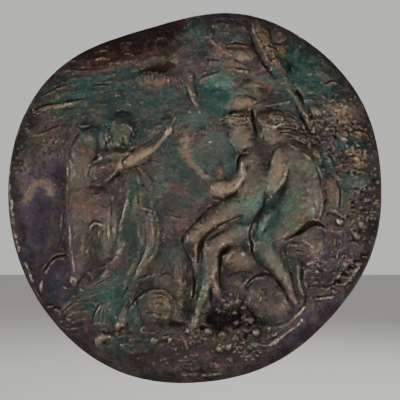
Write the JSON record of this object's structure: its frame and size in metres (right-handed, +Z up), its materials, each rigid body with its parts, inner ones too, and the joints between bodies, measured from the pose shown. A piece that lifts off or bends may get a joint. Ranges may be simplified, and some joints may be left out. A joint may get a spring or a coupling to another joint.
{
  "type": "relief plaque",
  "caption": "Round cast-bronze wall plaque with a low relief of a winged angel and a seated pair among trees and rocks; flat back.",
  "frame": {"origin": "the middle of the disc on the flat back, where the plaque lies against the wall", "axes": "+X to the viewer's right, +Z up, the relief faces -Y and the flat back faces +Y"},
  "size_m": [0.3, 0.0113, 0.2975],
  "materials": {
    "aged_bronze": "cast bronze with a dark grey and verdigris patina, satin, worn on the high points"
  },
  "bodies": {
    "root": {"relief_plaque": "aged_bronze"}
  },
  "joints": []
}
